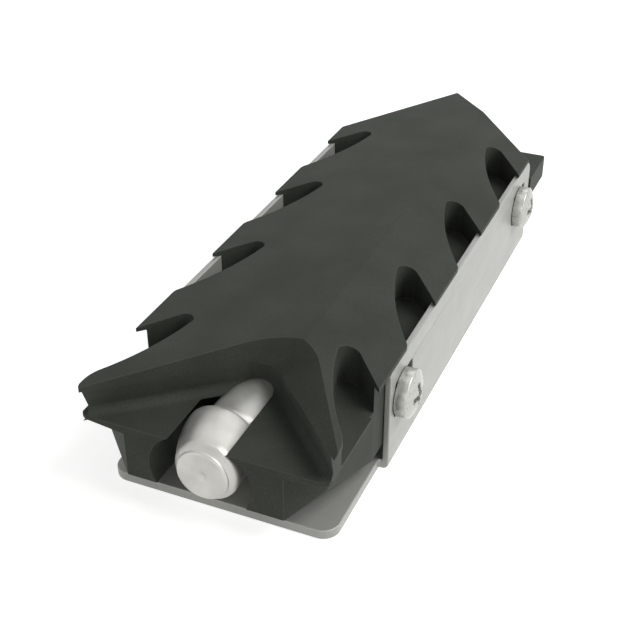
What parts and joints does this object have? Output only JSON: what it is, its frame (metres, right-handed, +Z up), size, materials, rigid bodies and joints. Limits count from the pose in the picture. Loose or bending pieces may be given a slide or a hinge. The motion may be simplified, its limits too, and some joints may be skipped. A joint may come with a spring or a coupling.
{
  "type": "ssd heat sink",
  "caption": "Long black scalloped heat sink with a chevron-cut roof and a round heat pipe, held by side screws in a slotted silver sheet tray; clamps round a storage card to cool it.",
  "frame": {"origin": "middle of the tray's flat underside", "axes": "+X across, towards the flange nearest the viewer in the picture; +Y along the sink from the open pipe end to the pointed rear; +Z up from the tray to the roof"},
  "size_m": [0.0278, 0.0746, 0.0142],
  "materials": {
    "black_aluminium": "fine blasted black anodised aluminium",
    "plated_pipe": "nickel-plated copper",
    "tray_sheet": "nickel-plated steel sheet, satin",
    "screw_steel": "zinc-plated steel"
  },
  "bodies": {
    "tray": {"base_tray": "tray_sheet"},
    "sink": {"sink_body": "black_aluminium", "heat_pipe": "plated_pipe", "side_screws": "screw_steel"}
  },
  "joints": [
    {"name": "card_slide", "type": "slide", "parent": "tray", "child": "sink", "axis": [0, 1, 0], "range_m": [-0.0003, 0.0015]}
  ]
}
